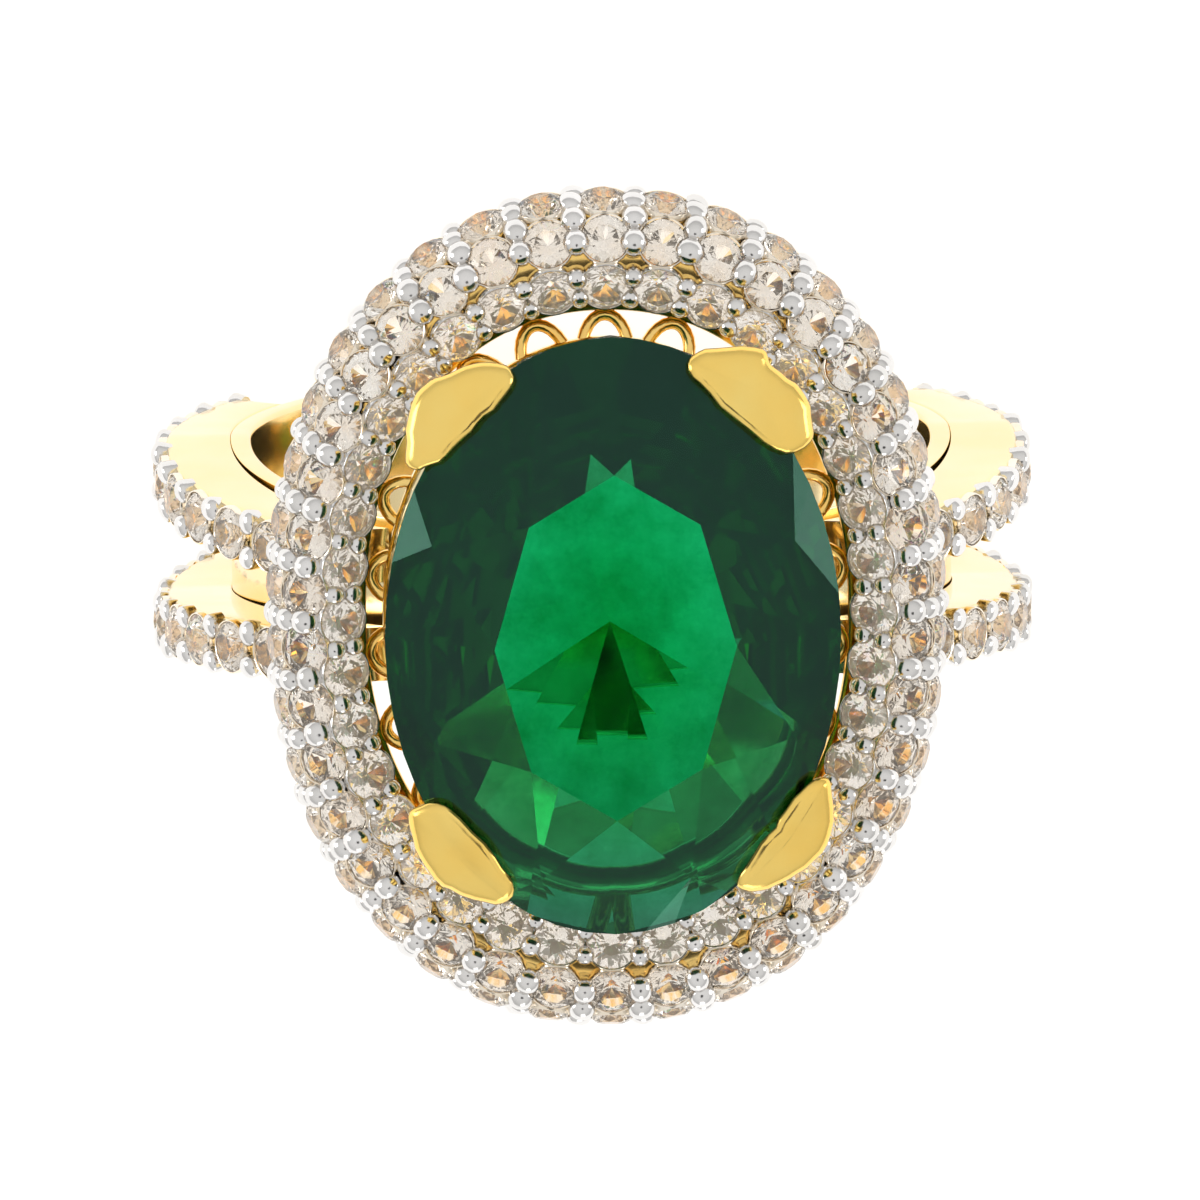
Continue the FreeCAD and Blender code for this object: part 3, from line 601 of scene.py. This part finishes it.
def slit_inner_radius(angle):
    """Radius of the arm's inner edge: on the band below the slit's start, leaving it above."""
    if angle <= SLIT_START:
        return BAND_RADIUS
    offset = SLIT_RADIUS - BAND_RADIUS
    centre = Vector((-offset * math.cos(SLIT_START), -offset * math.sin(SLIT_START)))
    ray = Vector((math.cos(angle), math.sin(angle)))
    along = ray.dot(centre)
    return along + math.sqrt(along * along - centre.length_squared + SLIT_RADIUS ** 2)


def outer_radius(angle, lowered):
    """Distance from the finger axis to the shank's outer face."""
    radius = SHANK_RADIUS - lowered
    rise = SHANK_RISE * math.sin(angle)
    return rise + math.sqrt(rise * rise - SHANK_RISE ** 2 + radius * radius)


def rounded(corners, radii, steps=3):
    """A closed outline with each corner rounded by its own radius."""
    loop = []
    count = len(corners)
    for i, (corner, radius) in enumerate(zip(corners, radii)):
        before = (Vector(corners[i - 1]) - Vector(corner)).normalized()
        after = (Vector(corners[(i + 1) % count]) - Vector(corner)).normalized()
        start = Vector(corner) + before * radius
        end = Vector(corner) + after * radius
        for k in range(steps + 1):
            t = k / steps
            loop.append(start * (1 - t) ** 2 + Vector(corner) * 2 * t * (1 - t) + end * t * t)
    return loop


def arm_ring(angle, side_x, side_y, top):
    """One section of an arm, cut off level at its top."""
    level = outer_radius(angle, 0) * math.sin(angle)
    low_radius = slit_inner_radius(angle)
    high_radius = outer_radius(angle, 0.16)
    y_in, y_out = inner_half(level), outer_half(level)
    corners = [(low_radius, y_in), (low_radius, y_out), (high_radius, y_out), (high_radius, y_in)]
    loop = rounded(corners, [0.04, 0.06, 0.14, 0.12])
    ring = []
    for radius, y in loop:
        z = min(radius * math.sin(angle), top)
        ring.append((side_x * radius * math.cos(angle), side_y * y, z))
    if side_x * side_y < 0:
        ring.reverse()
    return ring


ARM_NAMES = {(1, 1): "north_east", (-1, 1): "north_west", (1, -1): "south_east", (-1, -1): "south_west"}


def arm_place(angle, side_x, side_y, sideways=0.0, sink=0.0):
    """A place on an arm's outer face; angle is about the centre of the shank's outer circle."""
    level = SHANK_RISE + SHANK_RADIUS * math.sin(angle)
    middle = (inner_half(level) + outer_half(level)) / 2
    radius = SHANK_RADIUS - sink
    point = Vector((side_x * radius * math.cos(angle), side_y * (middle + sideways),
                    SHANK_RISE + radius * math.sin(angle)))
    normal = Vector((side_x * math.cos(angle), 0, math.sin(angle)))
    return place(point, normal, Vector((-side_x * math.sin(angle), 0, math.cos(angle))))


def build_arm(side_x, side_y):
    """One split arm with its row of stones, their cups and their beads."""
    corner = ARM_NAMES[(side_x, side_y)]
    top_angle = math.radians(57)
    low_angle = math.radians(-50)
    rings = []
    for k in range(97):
        angle = low_angle + (top_angle - low_angle) * k / 96
        rings.append(arm_ring(angle, side_x, side_y, TOP_LEVEL))
    first, step = -32, 9.0
    angles = [math.radians(first + step * k) for k in range(ARM_STONES)]
    gaps = [math.radians(first + step * (k + 0.5)) for k in range(-1, ARM_STONES)]
    places = [arm_place(angle, side_x, side_y) for angle in angles]
    points, faces = pierced(skin(rings, False), places, ARM_MELEE)
    arm = make_piece("shank_shoulder_" + corner, points, faces, GOLD)
    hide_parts("shank_arm_" + corner)

    points, faces = melee_set(places, ARM_MELEE, 40 + side_x + 3 * side_y)
    stones = make_piece("shoulder_brilliants_" + corner, points, faces, CHAMPAGNE, smooth=False)
    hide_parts("arm_stones_" + corner)
    points, faces = collet_set(places, ARM_MELEE)
    cups = make_piece("shoulder_collets_" + corner, points, faces, PALE_METAL)
    beads = [arm_place(a, side_x, side_y, sideways) for a in gaps for sideways in (-0.47, 0.47)]
    points, faces = bead_set(beads, 0.33, 0.24, 60 + side_x + 3 * side_y)
    grains = make_piece("shoulder_grains_" + corner, points, faces, RHODIUM)
    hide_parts("arm_beads_" + corner)


def build_shank():
    """The four arms, the open band inside them and the plain lower shank."""
    for side_x, side_y in ARM_NAMES:
        build_arm(side_x, side_y)

    rings = []
    opening = math.radians(28)
    start = -math.pi * 1.5 + opening
    sweep = TAU - 2 * opening
    for k in range(161):
        angle = start + sweep * k / 160
        level = BAND_RADIUS * math.sin(angle)
        half = outer_half(min(level, TOP_LEVEL)) - 0.02
        corners = [(bore, -half), (bore, half), (BAND_RADIUS, half), (BAND_RADIUS, -half)]
        loop = rounded(corners, [0.12, 0.12, 0.05, 0.05])
        rings.append([(r * math.cos(angle), y, r * math.sin(angle)) for r, y in loop])
    points, faces = skin(rings, False)
    band = make_piece("finger_liner", points, faces, GOLD)
    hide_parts("finger_band")

    rings = []
    reach = math.radians(40.2)
    for k in range(61):
        share = k / 30 - 1
        angle = -math.pi / 2 + reach * share
        outer = outer_radius(angle, 0.16 * share ** 4)
        half = outer_half(outer_radius(angle, 0) * math.sin(angle))
        corners = [(BAND_RADIUS, -half), (BAND_RADIUS, half), (outer, half), (outer, -half)]
        corner_radius = 0.35 - 0.21 * share ** 4
        loop = rounded(corners, [0.04, 0.04, corner_radius, corner_radius], 5)
        rings.append([(r * math.cos(angle), y, r * math.sin(angle)) for r, y in loop])
    points, faces = skin(rings, False)
    foot = make_piece("shank_foot", points, faces, GOLD)
    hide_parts("shank_base")


# ---- gallery and seat ----------------------------------------------------------------------------

def tube(points, radius, sides=14, closed=False):
    """A round wire along points; ends are capped."""
    line = [Vector(point) for point in points]
    rings = []
    count = len(line)
    for i, point in enumerate(line):
        if closed:
            tangent = line[(i + 1) % count] - line[i - 1]
        else:
            tangent = line[min(i + 1, count - 1)] - line[max(i - 1, 0)]
        tangent.normalize()
        side = tangent.cross(Vector((0, 0, 1)))
        if side.length < 0.05:
            side = tangent.cross(Vector((1, 0, 0)))
        side.normalize()
        up = side.cross(tangent)
        ring = []
        for j in range(sides):
            angle = TAU * j / sides
            ring.append(point + (side * math.cos(angle) + up * math.sin(angle)) * radius)
        rings.append(ring)
    return skin(rings, closed)


def oval_line(half_width, half_length, level, count=160):
    """Points round an ellipse on one level."""
    return [(half_width * math.cos(TAU * k / count), half_length * math.sin(TAU * k / count), level)
            for k in range(count)]


def build_gallery():
    """The wires, posts, loops, struts and bridge posts under the stone."""
    upper_low, upper_high = box_mm("gallery_upper_rail")
    lower_low, lower_high = box_mm("gallery_lower_rail")
    seat_low, seat_high = box_mm("seat_rail")
    rails = [
        ("gallery_top_wire", "gallery_upper_rail", upper_low, upper_high, 0.33),
        ("gallery_low_wire", "gallery_lower_rail", lower_low, lower_high, 0.34),
        ("seat_wire", "seat_rail", seat_low, seat_high, 0.34),
    ]
    ovals = {}
    for name, node, low, high, radius in rails:
        half_width = high.x - radius
        half_length = high.y - radius
        level = (low.z + high.z) / 2
        ovals[name] = (half_width, half_length, level)
        points, faces = tube(oval_line(half_width, half_length, level), radius, 16, True)
        wire = make_piece(name, points, faces, GOLD)
        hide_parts(node)

    top_w, top_l, top_z = ovals["gallery_top_wire"]
    low_w, low_l, low_z = ovals["gallery_low_wire"]
    parts = []
    for k in range(GALLERY_POSTS):
        angle = TAU * (k + 0.5) / GALLERY_POSTS
        foot = Vector((low_w * math.cos(angle), low_l * math.sin(angle), low_z))
        head = Vector((top_w * math.cos(angle), top_l * math.sin(angle), top_z))
        parts.append(tube([foot, foot.lerp(head, 0.5), head], 0.27, 12))
    points, faces = merge(parts)
    posts = make_piece("gallery_pillars", points, faces, GOLD)
    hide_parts("gallery_posts")

    lip_length = CREST_RADIUS - DOME_IN
    lip_width = SQUASH * lip_length
    parts = []
    for k in range(GALLERY_LOOPS):
        angle = TAU * (k + 0.5) / GALLERY_LOOPS
        foot = Vector((top_w * math.cos(angle), top_l * math.sin(angle), top_z))
        lip = oval(angle) * lip_length + Vector((0, 0, LIP_LEVEL + 0.24))
        outward = Vector((math.cos(angle) / lip_width, math.sin(angle) / lip_length, 0)).normalized()
        along = Vector((-outward.y, outward.x, 0))
        reach = (Vector((lip.x, lip.y, 0)) - Vector((foot.x, foot.y, 0))).length - 0.08
        line = []
        for step in range(13):
            turn = math.pi * step / 12
            point = foot + outward * (reach * math.sin(turn)) - along * (0.6 * math.cos(turn))
            line.append(point + Vector((0, 0, (lip.z - foot.z) * math.sin(turn))))
        parts.append(tube(line, 0.17, 12))
    points, faces = merge(parts)
    arches = make_piece("gallery_loops", points, faces, GOLD_DEEP)
    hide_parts("gallery_arches")

    seat_w, seat_l, seat_z = ovals["seat_wire"]
    parts = []
    for k in range(4):
        angle = TAU * k / 4
        foot = Vector((low_w * math.cos(angle), low_l * math.sin(angle), low_z))
        head = Vector((seat_w * math.cos(angle), seat_l * math.sin(angle), seat_z))
        parts.append(tube([foot, foot.lerp(head, 0.5), head], 0.28, 12))
    points, faces = merge(parts)
    struts = make_piece("seat_stays", points, faces, GOLD)
    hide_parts("seat_struts")

    foot_x, foot_y, foot_level = 5.2, 1.55, 7.5
    parts = []
    for side_x in (1, -1):
        for side_y in (1, -1):
            foot = Vector((side_x * foot_x, side_y * foot_y, foot_level))
            angle = math.atan2(side_y * foot_y / low_l, side_x * foot_x / low_w)
            head = Vector((low_w * math.cos(angle), low_l * math.sin(angle), low_z))
            parts.append(tube([foot, foot.lerp(head, 0.5), head], 0.37, 14))
    points, faces = merge(parts)
    bridge = make_piece("bridge_pillars", points, faces, GOLD)
    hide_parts("bridge_posts")


# ---- centre stone and claws ----------------------------------------------------------------------

def build_centre_stone():
    """The oval stone: a round brilliant, stretched to its length."""
    crown = CROWN_HEIGHT / STONE_HALF_WIDTH
    pavilion = PAVILION_DEPTH / STONE_HALF_WIDTH
    girdle = GIRDLE_THICKNESS / STONE_HALF_WIDTH
    unit = brilliant(TABLE_SHARE, crown, pavilion, girdle, 0.86, 0.22, 1.09, 3)
    stretch = Matrix.Diagonal((STONE_HALF_WIDTH, STONE_HALF_LENGTH, STONE_HALF_WIDTH, 1))
    lift = Matrix.Translation((0, 0, GIRDLE_LEVEL + GIRDLE_THICKNESS / 2))
    points, faces = moved(unit, lift @ stretch)
    stone = make_piece("oval_stone", points, faces, GREEN, smooth=False)
    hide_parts("centre_stone")


CLAW_CORNERS = {  # the few corners of each hammered claw tip, seen from above
    "claw_north_east": [
        (2.3, 7.6), (2.3, 6.8), (4.3, 5.0), (5.3, 5.2), (5.0, 6.5), (4.2, 7.1), (4.0, 7.6)],
    "claw_north_west": [
        (-2.6, 6.9), (-3.0, 7.4), (-4.2, 7.1), (-5.1, 6.5), (-5.4, 4.8), (-4.7, 4.7), (-3.5, 5.8)],
    "claw_south_west": [
        (-5.3, -4.5), (-5.3, -5.4), (-4.6, -6.6), (-3.0, -7.1), (-2.8, -6.3), (-4.3, -4.5)],
    "claw_south_east": [
        (5.7, -4.0), (5.0, -4.1), (4.2, -5.1), (3.2, -6.5), (3.5, -6.9), (4.4, -6.7), (5.6, -5.7)],
}
CROWN_SLOPE = CROWN_HEIGHT / (1 - TABLE_SHARE)
CLAW_EDGE_SEED = 1794882162


def crown_level(x, y):
    """Level of the stone's crown at a point, carried on past the girdle as a gentle droop."""
    share = math.hypot(x / STONE_HALF_WIDTH, y / STONE_HALF_LENGTH)
    rise = (1 - share) * CROWN_SLOPE
    return GIRDLE_LEVEL + GIRDLE_THICKNESS / 2 + (rise if share < 1 else 0.6 * rise)


def hammered_outline(corners, seed, steps=6):
    """A smooth closed outline through a few corners, with a slightly ragged hammered edge."""
    outline = []
    for i in range(len(corners)):
        before, start, end, after = (Vector(corners[(i + k) % len(corners)]) for k in (-1, 0, 1, 2))
        for step in range(steps):
            t = step / steps
            point = 0.5 * (2 * start + (end - before) * t
                           + (2 * before - 5 * start + 4 * end - after) * t ** 2
                           + (3 * start - before - 3 * end + after) * t ** 3)
            ragged = noise.noise_vector(Vector((point.x * 2.2, point.y * 2.2, seed * 7.0)))
            outline.append(point + ragged.to_2d() * 0.09)
    return outline


def inset(outline, depth):
    """An outline moved inward by a depth."""
    points = []
    count = len(outline)
    for i, point in enumerate(outline):
        tangent = (outline[(i + 2) % count] - outline[i - 2]).normalized()
        points.append(point + Vector((-tangent.y, tangent.x)) * depth)
    return points


def build_claw(name, seed):
    """A hammered plate over the crown on two wires that rise from the gallery."""
    outline = hammered_outline(CLAW_CORNERS[name], seed)
    middle = sum(outline, Vector((0, 0))) / len(outline)
    rings = []

    def add_ring(ring, height):
        points = []
        for point in ring:
            wave = 0.05 * noise.noise(Vector((point.x * 1.3 + seed * 3, point.y * 1.3, 5.0)))
            points.append((point.x, point.y, crown_level(point.x, point.y) + height + wave))
        rings.append(points)

    add_ring([middle.lerp(point, 0.5) for point in outline], -0.1)
    for depth, height in ((0.1, -0.08), (0.02, 0.0), (0.0, 0.1), (0.0, 0.2), (0.05, 0.28), (0.16, 0.36),
                          (0.24, 0.38)):
        add_ring(inset(outline, depth), height)
    inner = inset(outline, 0.24)
    for share in (0.7, 0.4, 0.1):
        add_ring([middle.lerp(point, share) for point in inner], 0.4)
    parts = [skin(rings, False)]

    angle = math.atan2(middle.y / STONE_HALF_LENGTH, middle.x / STONE_HALF_WIDTH)
    rim = Vector((STONE_HALF_WIDTH * math.cos(angle), STONE_HALF_LENGTH * math.sin(angle), 0))
    outward = Vector((math.cos(angle) / STONE_HALF_WIDTH, math.sin(angle) / STONE_HALF_LENGTH, 0))
    outward.normalize()
    along = Vector((-outward.y, outward.x, 0))
    for sideways in (-0.5, 0.5):
        foot = rim - outward * 0.9 + along * sideways + Vector((0, 0, 9.0))
        bend = rim + outward * 0.3 + along * sideways + Vector((0, 0, GIRDLE_LEVEL - 0.6))
        neck = rim + outward * 0.36 + along * sideways + Vector((0, 0, GIRDLE_LEVEL - 0.1))
        head = rim + outward * 0.3 + along * sideways + Vector((0, 0, GIRDLE_LEVEL + 0.12))
        parts.append(tube([foot, foot.lerp(bend, 0.5), bend, neck, head], 0.42, 16))
    points, faces = merge(parts)
    claw = make_piece(name.replace("claw", "double_claw"), points, faces, GOLD_CLAW)
    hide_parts(name)


build_halo()
build_shank()
build_gallery()
build_centre_stone()
noise.seed_set(CLAW_EDGE_SEED)  # this noise would otherwise take its seed from the clock
for seed, name in enumerate(CLAW_CORNERS):
    build_claw(name, seed)


# ---- stage, light and camera ---------------------------------------------------------------------

def build_stage():
    """A white floor just under the ring."""
    floor_level = base_low.z - 0.02
    material, nodes, links, shader = new_material("floor_white")
    shader.inputs["Roughness"].default_value = 0.9
    cloud = noise_texture(nodes, links, 20.0)
    whites = [(0.3, (0.93, 0.93, 0.93)), (0.7, (0.95, 0.95, 0.95))]
    links.new(ramp(nodes, links, cloud.outputs["Fac"], whites), shader.inputs["Base Color"])
    shader.inputs["Emission Color"].default_value = (1, 1, 1, 1)
    shader.inputs["Emission Strength"].default_value = 0.4
    mesh = bpy.data.meshes.new("floor")
    side = 1500
    corners = [(-side, -side), (side, -side), (side, side), (-side, side)]
    mesh.from_pydata([(x * MM, y * MM, floor_level * MM) for x, y in corners], [], [(0, 1, 2, 3)])
    floor = bpy.data.objects.new("floor", mesh)
    bpy.context.scene.collection.objects.link(floor)
    mesh.materials.append(material)


def look_along(thing, position, target, roll=0.0):
    """Places a camera or light at a position, facing a target."""
    back = (Vector(position) - Vector(target)).normalized()
    thing.matrix_world = place(Vector(position), back, (1, 0, 0)) @ Matrix.Rotation(roll, 4, "Z")


def area_light(name, position_mm, side_mm, power):
    """A square white lamp that faces the ring's head."""
    data = bpy.data.lights.new(name, "AREA")
    data.shape = "SQUARE"
    data.size = side_mm * MM
    data.energy = power
    lamp = bpy.data.objects.new(name, data)
    bpy.context.scene.collection.objects.link(lamp)
    look_along(lamp, Vector(position_mm) * MM, Vector((0, 0, 10)) * MM)


CAMERA_TILT = math.radians(11.5)
CAMERA_LEAN = math.radians(-2.3)
CAMERA_ROLL = math.radians(-1.0)
CAMERA_DISTANCE = 800.0
VIEW_WIDTH = 31.5
TARGET = Vector((-0.33, 0.95, 13.4))


def build_camera():
    """A distant camera above the ring; returns the direction it looks from."""
    data = bpy.data.cameras.new("camera")
    data.sensor_width = 36.0
    data.lens = 36.0 * CAMERA_DISTANCE / VIEW_WIDTH
    data.clip_start = 0.01
    data.clip_end = 10.0
    camera = bpy.data.objects.new("camera", data)
    bpy.context.scene.collection.objects.link(camera)
    direction = Vector((math.sin(CAMERA_LEAN), math.sin(CAMERA_TILT), math.cos(CAMERA_TILT))).normalized()
    look_along(camera, (TARGET + direction * CAMERA_DISTANCE) * MM, TARGET * MM, CAMERA_ROLL)
    bpy.context.scene.camera = camera
    return direction


def build_lights(view_direction):
    """A bright surround, three lamps and one dark panel."""
    world = bpy.data.worlds.new("studio")
    bpy.context.scene.world = world
    world.use_nodes = True
    nodes, links = world.node_tree.nodes, world.node_tree.links
    background = nodes["Background"]
    place_in = nodes.new("ShaderNodeTexCoord")
    split = nodes.new("ShaderNodeSeparateXYZ")
    links.new(place_in.outputs["Generated"], split.inputs["Vector"])
    links.new(ramp(nodes, links, split.outputs["Z"], [(0.0, (0.62, 0.62, 0.62)), (0.55, (0.9, 0.9, 0.9)),
                                                      (1.0, (1.0, 1.0, 1.0))]), background.inputs["Color"])
    background.inputs["Strength"].default_value = 0.85
    area_light("key", (-420, 60, 120), 180, 0.30)
    area_light("fill", (420, 40, 130), 180, 0.24)
    area_light("low_fill", (40, -420, 110), 180, 0.16)

    # the panel stands where the stone's flat table would otherwise mirror the bright surround
    material, nodes, links, shader = new_material("dark_panel_black")
    shader.inputs["Roughness"].default_value = 0.8
    cloud = noise_texture(nodes, links, 20.0)
    blacks = [(0.3, (0.012, 0.012, 0.012)), (0.7, (0.02, 0.02, 0.02))]
    links.new(ramp(nodes, links, cloud.outputs["Fac"], blacks), shader.inputs["Base Color"])
    radius = 150.0
    mesh = bpy.data.meshes.new("dark_panel")
    sides = 48
    ring = [(radius * math.cos(TAU * k / sides) * MM, radius * math.sin(TAU * k / sides) * MM, 0)
            for k in range(sides)]
    mesh.from_pydata(ring, [], [tuple(range(sides))])
    disc = bpy.data.objects.new("dark_panel", mesh)
    bpy.context.scene.collection.objects.link(disc)
    mesh.materials.append(material)
    mirrored = Vector((-view_direction.x, -view_direction.y, view_direction.z))
    look_along(disc, (TARGET + mirrored * (CAMERA_DISTANCE + 20)) * MM, TARGET * MM)


build_stage()
build_lights(build_camera())
bpy.context.scene.view_settings.view_transform = "Standard"
